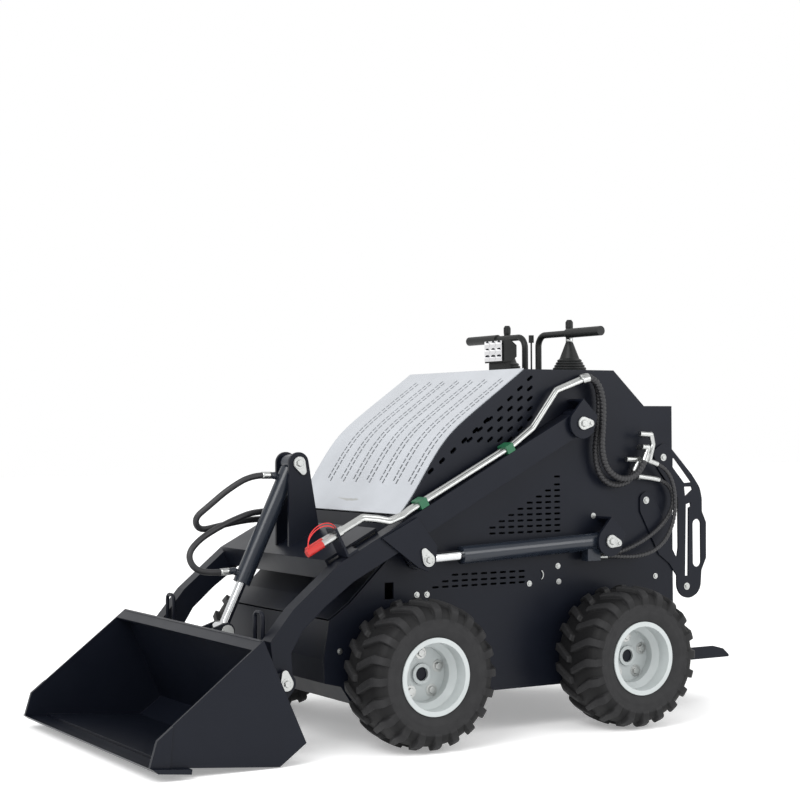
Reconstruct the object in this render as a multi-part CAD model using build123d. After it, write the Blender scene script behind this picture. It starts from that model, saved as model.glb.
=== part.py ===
"""Stand-on wheeled mini skid steer loader with a bucket, drawn as the separate pieces it is built from.

Millimetres. X points forward (towards the bucket), Y to the machine's left, Z up from the ground. The pieces are drawn
from the middle of the wheelbase and moved back at the end, so that the origin lies under the middle of the machine.
Side views are lists of (x, z) points, and everything symmetric is drawn on the left and mirrored to the right.
"""

import os
from math import atan2, cos, degrees, hypot, radians, sin, tan

from build123d import *

# Wheels and tyres
WHEELBASE = 784.0
TRACK = 986.0  # between the middles of the tyres
TYRE_RADIUS = 229.0  # at the tips of the lugs
TYRE_WIDTH = 216.0
TYRE_GAP = 19.0  # between a tyre and the side plate
BEAD_RADIUS = 108.0
RIM_FLANGE_RADIUS = 118.0
RIM_HALF_WIDTH = 96.0
RIM_WALL = 5.0
DROP_CENTRE_RADIUS = 84.0
DISC_THICKNESS = 8.0
STUD_CIRCLE_RADIUS = 63.5
STUD_COUNT = 5
STUD_HOLE_RADIUS = 7.5
CENTRE_HOLE_RADIUS = 21.0
MOTOR_RADIUS = 58.0
HUB_RADIUS = 74.0
HUB_THICKNESS = 18.0

# Chassis
SIDE_Y = TRACK / 2 - TYRE_WIDTH / 2 - TYRE_GAP  # outer face of the side plates
SIDE_PLATE = 8.0
BELLY_Z = 134.0
REAR_X = -698.0
CONSOLE_Z = 1164.0
CONSOLE_REAR_X = -450.0
REAR_SHELF_X = -578.0
REAR_SHELF_Z = 1045.0
SHEET = 4.0
PAN = 6.0
ENGINE = (520.0, 480.0, 520.0)  # length, width, height
ENGINE_FOOT = 30.0
FIT = 0.3  # gap between bolted pieces that could otherwise overlap
RUNNING_GAP = 6.0  # gap beside a moving piece

# Arms, seen from the side
PIVOT = (-264.0, 987.0)
ARM_SLOPE = 27.24  # degrees below level at rest
ARM_ABOVE_PIVOT = 41.6
ARM_DEPTH = 74.9
ARM_WIDTH = 56.0
ARM_INNER_Y = SIDE_Y + RUNNING_GAP
ARM_OUTER_Y = ARM_INNER_Y + ARM_WIDTH
ARM_MIDDLE_Y = ARM_INNER_Y + ARM_WIDTH / 2
ARM_KNEE_TOP = (628.0, 572.0)
ARM_SHIN = [(788, 440), (865, 349)]  # front edge below the knee
ARM_CALF = [(796, 314), (757, 376), (683, 441), (586, 511)]  # rear edge, from the bucket pin up to the knee
BUCKET_PIN = (821.0, 225.0)
ARM_END_RADIUS = 29.0
GUSSET = 10.0
CROSS_TOP = (653.0, 576.0)  # front edge of the cross member
CROSS_LENGTH = 200.0
CROSS_PLATE = 8.0
CROSS_FLANGES = (50.0, 70.0)  # rear, front

# Pins and their brackets
PIN_RADIUS = 15.0
FLAG = 6.0  # thickness of the keeper plate on a pin's end
FLAG_RADII = (21.0, 11.0)
FLAG_LENGTH = 30.0
EAR = 10.0
EAR_OUTER_Y = ARM_OUTER_Y + RUNNING_GAP + EAR
BRACKET_RADIUS = 50.0
BRACKET_COVER = [(-4, 80), (-60, 25)]  # outer line of the cover behind the ear, from the pin
COVER_PLATE = 8.0
LIFT_FOOT = (-375.0, 599.0)
LIFT_EYE = (327.0, 567.0)
TILT_TOP = (573.0, 864.0)
TILT_EYE = (824.0, 340.0)
TILT_EAR_Y = 40.0  # inner face of the tilt cylinder's upper ears
CLEVIS_Y = 31.0  # inner face of the lower ones

# Hydraulic cylinders
BARREL_RADIUS = 28.0
ROD_RADIUS = 16.0
EYE_RADIUS = 27.0
EYE_WIDTH = 50.0
LIFT_EYE_WIDTH = 32.0  # between the gusset plates
LIFT_BARREL = 560.0
TILT_BARREL = 420.0
TILT_CLOSING = 40.0  # the tilt rod goes this much further in when the bucket curls
PORT_RADIUS = 11.0

# Bucket, seen from the side
BUCKET_TOP = (936.0, 369.0)
BUCKET_NOSE = (1266.0, 113.0)
BUCKET_LIP = (1288.0, 40.0)
BUCKET_HEEL = (886.0, 3.0)
BUCKET_CORNER = (800.0, 64.0)
BUCKET_HALF_WIDTH = 530.0
BUCKET_PLATE = 8.0
EDGE_HALF_WIDTH = 552.0
EDGE_DEPTH = 120.0
EDGE_THICKNESS = 14.0
WEAR_STRIP = 60.0
FRAME_PLATE = 12.0
FRAME_HALF_WIDTH = 460.0
LATCH_ROD = 6.0

# Operator's end
PLATFORM_TIP_X = -1000.0
PLATFORM_HALF_WIDTH = 303.0
PLATFORM_Z = 162.0
PLATFORM_RIM = 42.0
GUARD_PLATE = 6.0
HAND_BAR = (-373.0, 1294.0)
GRIP_START = 213.0
GRIP_END = 400.0
GRIP_RADIUS = 16.0
BAR_RADIUS = 11.0
JOYSTICK = (-398.0, 189.0)
LAMP = (-238.0, 1239.0)

# Hydraulic lines
PIPE_RADIUS = 8.0
PIPE_Y = (ARM_MIDDLE_Y - 8, ARM_MIDDLE_Y + 16)
PIPE_STAGGER = 15.0  # the outer pipe is set this much forward along the arm
COUPLER = (75.0, 134.0)  # length without and with its cap
COUPLER_RADIUS = 11.0
CAP_RADIUS = 11.7
CLAMP = (30.0, 27.0)  # along the arm, height
CLAMP_PLACES = (265.0, 629.0)  # from the pivot
COUPLER_PLATE = 950.0  # from the pivot
HOSE_RADIUS = 10.0
PORT_TUBE = 8.5  # radius of the fittings on the side plate
PORT_STEM = 9.5
WRAPPED_RADIUS = 11.0
LIFT_HOSE_RADIUS = 7.0

MIDDLE_X = (BUCKET_LIP[0] + PLATFORM_TIP_X) / 2
WHEELS = [
    # name, x, side
    ("front_left", WHEELBASE / 2, 1),
    ("front_right", WHEELBASE / 2, -1),
    ("rear_left", -WHEELBASE / 2, 1),
    ("rear_right", -WHEELBASE / 2, -1),
]


def outline(points, radii=None):
    """A closed side view as a face, with a corner radius for each point where radii are given."""
    corners = [(x, 0, z) for x, z in points]
    if radii is None:
        return make_face(Polyline(*corners, close=True))
    return make_face(FilletPolyline(*corners, radius=radii, close=True))


def slab(face, y_from, y_to):
    """A side view given its width along Y."""
    return Pos(0, y_from, 0) * extrude(face, amount=y_to - y_from, dir=(0, 1, 0))


def plate(points, y_from, y_to, radii=None):
    return slab(outline(points, radii), y_from, y_to)


def disc(centre, radius, y_from, y_to):
    """A round bar or boss along Y."""
    bar = Rot(90, 0, 0) * Cylinder(radius, abs(y_to - y_from))
    return Pos(centre[0], (y_from + y_to) / 2, centre[1]) * bar


def both_sides(shape):
    """The left piece and its mirror image."""
    return shape + mirror(shape, about=Plane.XZ)


def sheet_along(points, thickness, y_from, y_to):
    """Folded sheet: the line through the points, thickened to its right-hand side seen from the left."""
    inner = offset_line(points, thickness)
    return plate(list(points) + inner[::-1], y_from, y_to)


def offset_line(points, distance):
    """The same folded line moved sideways, with mitred corners."""
    moved = []
    for i, point in enumerate(points):
        normals = []
        for a, b in ((i - 1, i), (i, i + 1)):
            if a >= 0 and b < len(points):
                dx, dz = points[b][0] - points[a][0], points[b][1] - points[a][1]
                length = hypot(dx, dz)
                normals.append((-dz / length, dx / length))
        nx = sum(n[0] for n in normals) / len(normals)
        nz = sum(n[1] for n in normals) / len(normals)
        stretch = distance / (nx * nx + nz * nz)
        moved.append((point[0] + nx * stretch, point[1] + nz * stretch))
    return moved


def along(start, end, distance):
    """The point at a distance from start towards end."""
    length = hypot(end[0] - start[0], end[1] - start[1])
    return (
        start[0] + (end[0] - start[0]) * distance / length,
        start[1] + (end[1] - start[1]) * distance / length,
    )


def bar_between(start, end, radius, y=0.0):
    """A round bar from one side-view point to another."""
    length = hypot(end[0] - start[0], end[1] - start[1])
    turn = degrees(atan2(end[0] - start[0], end[1] - start[1]))
    bar = Cylinder(radius, length, align=(Align.CENTER, Align.CENTER, Align.MIN))
    return Pos(start[0], y, start[1]) * Rot(0, turn, 0) * bar


def bent_bar(route, radius, bend):
    """A round bar along straight runs joined by bends of one radius."""
    path = FilletPolyline(*route, radius=bend)
    start = Plane(origin=path @ 0, z_dir=path % 0)
    return sweep(start * Circle(radius), path=path)


def lug_plate(pin, radius, base, y_from, y_to):
    """An ear: a round end at the pin that widens to its base points."""
    shape = make_hull(
        (Circle(radius).edges() + Polyline(*[(x - pin[0], z - pin[1]) for x, z in base]).edges())
    )
    face = Pos(pin[0], 0, pin[1]) * Rot(90, 0, 0) * shape
    return slab(face, y_from, y_to)


def slots(places, length, width, angle, y_from, y_to):
    """Round-ended slots through a side plate, each turned by the angle."""
    face = Rot(90, 0, 0) * SlotOverall(length, width)
    return [slab(Pos(x, 0, z) * Rot(0, angle, 0) * face, y_from, y_to) for x, z in places]


def pin_with_flag(pin, y_from, y_to, angle):
    """A pin along Y with the two-lobed keeper plate on its outer end, turned by the angle from +X."""
    lobe = (FLAG_LENGTH * cos(radians(angle)), FLAG_LENGTH * sin(radians(angle)))
    big, small = FLAG_RADII
    shape = make_hull(Circle(big).edges() + (Pos(*lobe) * Circle(small)).edges())
    flag = slab(Pos(pin[0], 0, pin[1]) * Rot(90, 0, 0) * shape, y_to, y_to + FLAG)
    return disc(pin, PIN_RADIUS, y_from, y_to) + flag


def pin_hole(pin, y_from, y_to):
    return disc(pin, PIN_RADIUS + FIT, y_from, y_to)


def bend_radii(points):
    """Bend at each inner corner of a hose: its arc takes 0.45 of the shorter run beside it."""
    runs = [Vector(*b) - Vector(*a) for a, b in zip(points, points[1:])]
    radii = []
    for a, b in zip(runs, runs[1:]):
        turn = radians(a.get_angle(b))
        radii.append(0.45 * min(a.length, b.length) / tan(turn / 2))
    return radii


def hose(points, radius):
    """A round hose along straight runs joined by tangent arcs."""
    path = FilletPolyline(*points, radius=bend_radii(points))
    start = Plane(origin=path @ 0, z_dir=path % 0)
    return sweep(start * Circle(radius), path=path)


def write(name, shape):
    """Save one piece, moved so that the origin is under the machine's middle."""
    export_step(Pos(-MIDDLE_X, 0, 0) * shape, f"parts/{name}.step")


def tyre():
    """Tyre about the Y axis, its middle at the origin."""
    half = TYRE_WIDTH / 2
    bead_y = RIM_HALF_WIDTH - RIM_WALL - FIT
    side = [
        # radius, y, rounding
        (BEAD_RADIUS, bead_y, 0),
        (RIM_FLANGE_RADIUS + 4, bead_y, 0),
        (RIM_FLANGE_RADIUS + 30, half, 30),
        (TYRE_RADIUS - 34, half - 2, 12),
        (TYRE_RADIUS - 9, half - 26, 20),
        (TYRE_RADIUS, 22, 60),
    ]
    half_round = [(r, y) for r, y, _ in side]
    rounds = [rounding for _, _, rounding in side]
    profile = FilletPolyline(
        *half_round, *[(r, -y) for r, y in half_round[::-1]], radius=rounds + rounds[::-1], close=True
    )
    return revolve(make_face(profile), axis=Axis.Y)


def rim():
    """Steel rim with its drop centre, disc and hub flange, about the Y axis; the outer face is towards +Y."""
    wall = RIM_WALL
    seat = BEAD_RADIUS - FIT
    edge = RIM_HALF_WIDTH
    outer = [
        (RIM_FLANGE_RADIUS, -edge),
        (RIM_FLANGE_RADIUS, -edge + wall),
        (seat, -edge + wall),
        (seat, -46),
        (DROP_CENTRE_RADIUS + wall, -30),
        (DROP_CENTRE_RADIUS + wall, 30),
        (seat, 46),
        (seat, edge - wall),
        (RIM_FLANGE_RADIUS, edge - wall),
        (RIM_FLANGE_RADIUS, edge),
        (seat - wall, edge),
        (seat - wall, 48),
        (DROP_CENTRE_RADIUS, 32),
        (DROP_CENTRE_RADIUS, -32),
        (seat - wall, -48),
        (seat - wall, -edge),
    ]
    barrel = revolve(make_face(Polyline(*outer, close=True)), axis=Axis.Y)
    face_y = DISC_THICKNESS / 2
    centre = disc((0, 0), DROP_CENTRE_RADIUS + 1, -face_y, face_y)
    centre += disc((0, 0), HUB_RADIUS, -face_y - HUB_THICKNESS, -face_y)
    centre += disc((0, 0), CENTRE_HOLE_RADIUS + 11, face_y, face_y + 8)
    wheel = barrel + centre
    wheel -= disc((0, 0), CENTRE_HOLE_RADIUS, -face_y - HUB_THICKNESS, face_y + 8)
    for i in range(STUD_COUNT):
        turn = radians(90 + 360 / STUD_COUNT * i)
        place = (STUD_CIRCLE_RADIUS * cos(turn), STUD_CIRCLE_RADIUS * sin(turn))
        wheel -= disc(place, STUD_HOLE_RADIUS, -face_y - HUB_THICKNESS, face_y)
    return wheel


def wheel_motor():
    """Motor and its flange, from the side plate into the wheel; the wheel's middle at the origin."""
    flange_y = SIDE_Y - TRACK / 2
    hub_back = -DISC_THICKNESS / 2 - HUB_THICKNESS
    body = disc((0, 0), MOTOR_RADIUS, flange_y - 40, hub_back - RUNNING_GAP)
    body += disc((0, 0), CENTRE_HOLE_RADIUS - FIT, hub_back - RUNNING_GAP, DISC_THICKNESS / 2)
    return body + disc((0, 0), MOTOR_RADIUS + 26, flange_y, flange_y + 12)


def make_wheels():
    motors = None
    for name, x, side in WHEELS:
        place = Pos(x, side * TRACK / 2, TYRE_RADIUS)
        turn = Rot(0, 0, 0) if side > 0 else Rot(0, 0, 180)
        write(f"tyre_{name}", place * turn * tyre())
        write(f"rim_{name}", place * turn * rim())
        motor = place * turn * wheel_motor()
        motors = motor if motors is None else motors + motor
    write("wheel_motors", motors)


HOOD_LINE = [(381, 704), (324, 777), (262, 870), (200, 947), (105, 1024), (9, 1092), (-92, CONSOLE_Z)]
NOSE_LINE = [(405, 591), (564, 441), (636, 391), (655, 275), (652, 203), (596, 189), (560, BELLY_Z)]
TOP_LINE = [(CONSOLE_REAR_X, CONSOLE_Z), (REAR_SHELF_X, REAR_SHELF_Z), (REAR_X, REAR_SHELF_Z)]
LOWER_VENTS = (-215.0, 787.0, 8, 9, 36.5, 19.0)  # first column x, top z, columns, rows, pitches
HOOD_COLUMNS = [-305, -211, -125, -39, 52, 137, 228]
HOOD_SLOT = (17.0, 9.0)  # along and across the hood
HOOD_SLOT_PITCH = 22.4
HOOD_SLOT_FIRST = 122.0  # from the hood's foot, along it
HOOD_SLOT_ROWS = 22
HOOD_PAIR = 25.0  # between the two lines of a pair
LONG_VENTS = [(510, 8), (491, 9), (474, 10)]  # z, columns
GUARD = [
    # x, z, rounding
    (-610, 890, 20), (-654, 920, 30), (-683, 908, 30), (-781, 809, 60), (-815, 765, 60), (-824, 728, 60),
    (-824, 682, 10), (-842, 644, 10), (-841, 521, 10), (-820, 480, 10), (-814, 406, 50), (-761, 382, 50),
    (-710, 406, 50), (-711, 466, 10), (-678, 509, 10), (-634, 541, 10), (-554, 690, 25), (-554, 745, 25),
    (-594, 760, 25), (-634, 700, 10), (-674, 621, 10), (-676, 585, 10), (-712, 523, 4), (-718, 561, 4),
    (-718, 730, 10), (-634, 830, 10),
]
GUARD_WINDOWS = [
    [(-696, 866), (-705, 866), (-778, 783), (-746, 781), (-696, 836)],  # beside the slanted edge
    [(-746, 768), (-779, 768), (-783, 758), (-750, 734)],  # triangle at the elbow
    [(-753, 708), (-773, 714), (-775, 700), (-765, 696), (-761, 463), (-747, 463)],  # long slot
]
GRIP_HOLE = (-818.0, -782.0, 492.0, 656.0)  # x from, x to, z from, z to


def side_vents(y_from, y_to):
    """Ventilation slots of a side plate."""
    x0, z0, columns, rows, across, down = LOWER_VENTS
    lower = [(x0 + across * i, z0 - down * j) for i in range(columns) for j in range(i, rows)]
    lower += [(x0, z0 + 26)]
    lower += [(-72 + across * i, z) for z, count in LONG_VENTS for i in range(count)]
    cuts = slots(lower, 24, 6.5, 0, y_from, y_to)
    upper = [(-109 + 39 * i, 1134 - 33 * j) for j in range(7) for i in range(j + 1)]
    cuts += slots(upper, 26, 10, 35, y_from, y_to)
    along_hood = [(271 - 42 * i, 839 + 31.6 * i) for i in range(6)]
    cuts += slots(along_hood, 26, 12, 40, y_from, y_to)
    return cuts + [plate([(409, 445), (441, 445), (441, 497), (409, 497)], y_from, y_to)]


def hood_slots():
    """Pairs of staggered slot lines that follow the curve of the hood."""
    curve = Spline(*[(x, 0, z) for x, z in HOOD_LINE])
    cutter = Box(HOOD_SLOT[0], HOOD_SLOT[1], 10 * SHEET)
    cuts = []
    for row in range(HOOD_SLOT_ROWS):
        for stagger, offset in ((0, -HOOD_PAIR / 2), (0.5, HOOD_PAIR / 2)):
            distance = HOOD_SLOT_FIRST + (row + stagger) * HOOD_SLOT_PITCH
            point = curve.position_at(distance, position_mode=PositionMode.LENGTH)
            tangent = curve.tangent_at(distance, position_mode=PositionMode.LENGTH)
            place = Plane(origin=point, x_dir=tangent, z_dir=Vector(tangent.Z, 0, -tangent.X))
            cuts += [Pos(0, y + offset, 0) * place * cutter for y in HOOD_COLUMNS]
    return cuts


def make_side_plates(inner):
    edge = [(x, 0, z) for x, z in [(REAR_X, BELLY_Z)] + NOSE_LINE[::-1] + HOOD_LINE[:1]]
    rest = [(x, 0, z) for x, z in HOOD_LINE[-1:] + TOP_LINE + [(REAR_X, BELLY_Z)]]
    hood = Spline(*[(x, 0, z) for x, z in HOOD_LINE])
    side = slab(make_face(Polyline(*edge) + hood + Polyline(*rest)), inner, SIDE_Y)
    holes = [disc((x, TYRE_RADIUS), MOTOR_RADIUS + FIT, inner, SIDE_Y) for _, x, _ in WHEELS[::2]]
    side = side.cut(*holes, *side_vents(inner, SIDE_Y))
    write("side_plate_left", side)
    write("side_plate_right", mirror(side, about=Plane.XZ))


def make_chassis():
    inner = SIDE_Y - SIDE_PLATE
    make_side_plates(inner)
    half = inner - FIT
    belly = NOSE_LINE[2:] + [(REAR_X, BELLY_Z)]
    write("belly_pan", sheet_along(belly, -PAN, -half, half))
    back = [(REAR_X, BELLY_Z + PAN + FIT), (REAR_X, REAR_SHELF_Z - SHEET - FIT)]
    write("rear_panel", sheet_along(back, -PAN, -half, half))

    front = NOSE_LINE[2::-1] + HOOD_LINE[:1]
    front = [along(front[0], front[1], SHEET), *front[1:-1], along(front[-1], front[-2], SHEET)]
    write("front_panel", sheet_along(front, -SHEET, -half, half))

    outer = Spline(*[(x, 0, z) for x, z in HOOD_LINE])
    under = offset_line(HOOD_LINE, -SHEET)
    lower = Spline(*[(x, 0, z) for x, z in under])
    ends = [Polyline(outer @ i, lower @ i) for i in (0, 1)]
    hood = slab(make_face(outer + ends[0] + lower + ends[1]), -half, half)
    write("hood", hood.cut(*hood_slots()))

    top = [(HOOD_LINE[-1][0] - 1, CONSOLE_Z), TOP_LINE[0], TOP_LINE[1], (REAR_X + PAN + 1, REAR_SHELF_Z)]
    write("console", sheet_along(top, SHEET, -half, half))
    bottom = BELLY_Z + PAN + ENGINE_FOOT
    engine = Pos(0, 0, bottom) * Box(*ENGINE, align=(Align.CENTER, Align.CENTER, Align.MIN))
    for x in (-ENGINE[0] / 2 + 40, ENGINE[0] / 2 - 40):
        for y in (-ENGINE[1] / 2 + 40, ENGINE[1] / 2 - 40):
            foot = Cylinder(22, ENGINE_FOOT, align=(Align.CENTER, Align.CENTER, Align.MAX))
            engine += Pos(x, y, bottom) * foot
    write("engine_block", engine)

    front = REAR_X - FIT
    rim_top = PLATFORM_Z + PLATFORM_RIM
    tray = plate(
        [(front, PLATFORM_Z), (front, rim_top), (PLATFORM_TIP_X + 70, rim_top), (PLATFORM_TIP_X + 25, rim_top - 12),
         (PLATFORM_TIP_X, PLATFORM_Z + 8), (PLATFORM_TIP_X, PLATFORM_Z)],
        -PLATFORM_HALF_WIDTH, PLATFORM_HALF_WIDTH,
    )
    tray -= plate(
        [(front - PAN, PLATFORM_Z + PAN), (front - PAN, rim_top), (PLATFORM_TIP_X - 1, rim_top),
         (PLATFORM_TIP_X - 1, PLATFORM_Z + PAN)],
        PAN - PLATFORM_HALF_WIDTH, PLATFORM_HALF_WIDTH - PAN,
    )
    write("platform", tray)

    outer_y = SIDE_Y + GUARD_PLATE
    guard = plate([(x, z) for x, z, _ in GUARD], SIDE_Y, outer_y, [rounding for _, _, rounding in GUARD])
    x_from, x_to, z_from, z_to = GRIP_HOLE
    grip = plate([(x_from, z_from), (x_to, z_from), (x_to, z_to), (x_from, z_to)], SIDE_Y, outer_y, 17.0)
    guard = guard.cut(grip, *[plate(window, SIDE_Y, outer_y) for window in GUARD_WINDOWS])
    write("guard_left", guard)
    write("guard_right", mirror(guard, about=Plane.XZ))


def pin_bracket(pin):
    """Outer ear of a pin with the slanted cover behind it, welded to the side plate clear of the eye inside."""
    line = [(pin[0] + x, pin[1] + z) for x, z in BRACKET_COVER]
    cover = sheet_along(line, COVER_PLATE, SIDE_Y, EAR_OUTER_Y)
    ear = lug_plate(pin, BRACKET_RADIUS, line, EAR_OUTER_Y - EAR, EAR_OUTER_Y)
    return cover + ear - pin_hole(pin, SIDE_Y, EAR_OUTER_Y)


PINS = [
    # node, pin, from y, to y, angle of the keeper plate
    ("chassis_pins", PIVOT, SIDE_Y, EAR_OUTER_Y, 180),
    ("chassis_pins", LIFT_FOOT, SIDE_Y, EAR_OUTER_Y, 193),
    ("arm_pins", LIFT_EYE, ARM_OUTER_Y, ARM_OUTER_Y + GUSSET, 60),
    ("bucket_pins", BUCKET_PIN, ARM_INNER_Y - EAR - 5, ARM_OUTER_Y + 5 + EAR, 80),
]


def make_pins():
    write("arm_brackets", both_sides(pin_bracket(PIVOT)))
    write("lift_brackets", both_sides(pin_bracket(LIFT_FOOT)))
    tilt_pins = {
        "arm_pins": pin_with_flag(TILT_TOP, -TILT_EAR_Y - EAR, TILT_EAR_Y + EAR, 243),
        "bucket_pins": both_sides(pin_with_flag(TILT_EYE, CLEVIS_Y, CLEVIS_Y + EAR, 250)),
    }
    for node in ("chassis_pins", "arm_pins", "bucket_pins"):
        pins = [both_sides(pin_with_flag(pin, *rest)) for name, pin, *rest in PINS if name == node]
        if node in tilt_pins:
            pins.append(tilt_pins[node])
        write(node, pins[0] + pins[1:])


def arm_point(distance, height):
    """Side-view point at a distance from the pivot along the arm and a height above its middle line."""
    slope = radians(ARM_SLOPE)
    return (
        PIVOT[0] + cos(slope) * distance + sin(slope) * height,
        PIVOT[1] - sin(slope) * distance + cos(slope) * height,
    )


def make_arms():
    low = ARM_ABOVE_PIVOT - ARM_DEPTH
    end_z = BUCKET_PIN[1] + 4
    beam = [arm_point(0, low), arm_point(0, ARM_ABOVE_PIVOT), ARM_KNEE_TOP, *ARM_SHIN,
            (BUCKET_PIN[0] + ARM_END_RADIUS, end_z), (BUCKET_PIN[0] - ARM_END_RADIUS, end_z), *ARM_CALF]
    arm = plate(beam, ARM_INNER_Y, ARM_OUTER_Y)
    arm += disc(PIVOT, ARM_ABOVE_PIVOT + 4, ARM_INNER_Y, ARM_OUTER_Y)
    arm += disc(BUCKET_PIN, ARM_END_RADIUS, ARM_INNER_Y, ARM_OUTER_Y)
    for y, top in ((ARM_INNER_Y, [(364, 689), (424, 654)]), (ARM_OUTER_Y, [(364, 699), (489, 639)])):
        gusset = top + [(360, 544), (330, 532), (299, 547), (294, 609)]
        arm += plate(gusset, y, y + GUSSET)
    for pin, y in ((PIVOT, ARM_INNER_Y), (BUCKET_PIN, ARM_INNER_Y), (LIFT_EYE, ARM_OUTER_Y)):
        arm -= pin_hole(pin, y, ARM_OUTER_Y + GUSSET)
    write("arm_left", arm)
    write("arm_right", mirror(arm, about=Plane.XZ))

    slope = radians(ARM_SLOPE)
    rear_flange, front_flange = CROSS_FLANGES
    front = CROSS_TOP
    back = (front[0] - cos(slope) * CROSS_LENGTH, front[1] + sin(slope) * CROSS_LENGTH)
    down = (-sin(slope), -cos(slope))
    line = [(back[0] + down[0] * rear_flange, back[1] + down[1] * rear_flange), back, front,
            (front[0] + down[0] * front_flange, front[1] + down[1] * front_flange)]
    cross = sheet_along(line, -CROSS_PLATE, -ARM_INNER_Y, ARM_INNER_Y)
    for y in (-TILT_EAR_Y - EAR, TILT_EAR_Y):
        cross += lug_plate(TILT_TOP, 35.0, [(500, 646), (610, 590)], y, y + EAR)
    write("cross_member", cross - pin_hole(TILT_TOP, -TILT_EAR_Y - EAR, TILT_EAR_Y + EAR))


def cylinder(foot, eye, barrel_length, closing, eye_width, y, ports):
    """Barrel with its foot eye and ports, and rod with its eye, between two pins; it closes further by closing."""
    total = hypot(eye[0] - foot[0], eye[1] - foot[1])
    half = EYE_WIDTH / 2
    barrel_start = along(foot, eye, EYE_RADIUS - 4)
    barrel_end = along(foot, eye, barrel_length)
    barrel = bar_between(barrel_start, barrel_end, BARREL_RADIUS, y)
    barrel += disc(foot, EYE_RADIUS, y - half, y + half)
    for distance, *route in ports:
        neck = along(foot, eye, distance)
        barrel += bar_between(neck, route[0], PORT_RADIUS, y)
        if len(route) > 1:
            barrel += bar_between(*route, PORT_RADIUS, y)
            barrel += Pos(route[0][0], y, route[0][1]) * Sphere(PORT_RADIUS + 1)
    barrel -= bar_between(along(foot, eye, 60), along(foot, eye, barrel_length + 1), ROD_RADIUS + FIT, y)
    barrel -= pin_hole(foot, y - half, y + half)
    rod = bar_between(along(foot, eye, 70 + closing), along(foot, eye, total - EYE_RADIUS + 6), ROD_RADIUS, y)
    rod += disc(eye, EYE_RADIUS, y - eye_width / 2, y + eye_width / 2)
    return barrel, rod


def make_cylinders():
    y = ARM_MIDDLE_Y
    barrel, rod = cylinder(LIFT_FOOT, LIFT_EYE, LIFT_BARREL, 0.0, LIFT_EYE_WIDTH, y, [])
    write("lift_barrel_right", mirror(barrel, about=Plane.XZ))
    write("lift_rod_left", rod)
    write("lift_rod_right", mirror(rod, about=Plane.XZ))
    block = plate([(-352, 535), (-300, 535), (-300, 580), (-352, 580)], y - 18, y + 18)
    hollow = bar_between(along(LIFT_FOOT, LIFT_EYE, 20), along(LIFT_FOOT, LIFT_EYE, 80), ROD_RADIUS + 4, y)
    write("lift_barrel_left", barrel + (block - hollow))
    ports = [
        # distance along the barrel, outer end of the neck, end of the elbow
        (60.3, (636, 824.1), (650, 825)),
        (396.0, (781, 524.9), (797, 524)),
    ]
    barrel, rod = cylinder(TILT_TOP, TILT_EYE, TILT_BARREL, TILT_CLOSING, EYE_WIDTH, 0.0, ports)
    write("tilt_barrel", barrel)
    write("tilt_rod", rod)


def make_bucket():
    floor_front = along(BUCKET_HEEL, BUCKET_LIP, 330)
    shell_line = [floor_front, BUCKET_HEEL, BUCKET_CORNER, BUCKET_TOP]
    inside = BUCKET_HALF_WIDTH - BUCKET_PLATE
    shell = sheet_along(shell_line, -BUCKET_PLATE, -inside, inside)
    side = plate([BUCKET_TOP, BUCKET_NOSE, BUCKET_LIP, BUCKET_HEEL, BUCKET_CORNER], inside, BUCKET_HALF_WIDTH)
    strip = [BUCKET_NOSE, BUCKET_LIP, along(BUCKET_LIP, BUCKET_HEEL, WEAR_STRIP),
             along(BUCKET_NOSE, BUCKET_TOP, WEAR_STRIP)]
    side += plate(strip, BUCKET_HALF_WIDTH, BUCKET_HALF_WIDTH + 5)
    shell += both_sides(side)
    flange = [BUCKET_TOP, along(BUCKET_TOP, BUCKET_NOSE, 42)]
    shell += sheet_along(flange, -BUCKET_PLATE, -inside, inside)
    write("bucket_shell", shell)

    back = along(BUCKET_LIP, BUCKET_HEEL, EDGE_DEPTH)
    tip = BUCKET_LIP
    low = EDGE_THICKNESS
    write("cutting_edge", plate([tip, back, (back[0] + 2, back[1] - low), (tip[0] - 18, tip[1] - low)],
                                -EDGE_HALF_WIDTH, EDGE_HALF_WIDTH))

    near = along(BUCKET_CORNER, BUCKET_TOP, 40)
    far = along(BUCKET_CORNER, BUCKET_TOP, 300)
    line = offset_line([near, far], FIT)
    frame = sheet_along(line, FRAME_PLATE, -FRAME_HALF_WIDTH, FRAME_HALF_WIDTH)
    root = offset_line([along(near, far, 60), along(near, far, 170)], FIT + FRAME_PLATE / 2)
    ears = None
    for y in (ARM_INNER_Y - 5 - EAR, ARM_OUTER_Y + 5):
        ear = lug_plate(BUCKET_PIN, 32.0, root, y, y + EAR) - pin_hole(BUCKET_PIN, y, y + EAR)
        ears = ear if ears is None else ears + ear
    root = offset_line([along(near, far, 170), along(near, far, 258)], FIT + FRAME_PLATE / 2)
    clevis = lug_plate(TILT_EYE, 27.0, root, CLEVIS_Y, CLEVIS_Y + EAR)
    clevis -= pin_hole(TILT_EYE, CLEVIS_Y, CLEVIS_Y + EAR)
    loop = [(908, 305, 325), (855, 305, 325), (855, 305, 428), (855, 358, 428), (855, 358, 325), (908, 358, 325)]
    latch = bent_bar(loop, LATCH_ROD, 18.0)
    write("attach_frame", frame + both_sides(ears) + both_sides(clevis) + both_sides(latch))


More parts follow.
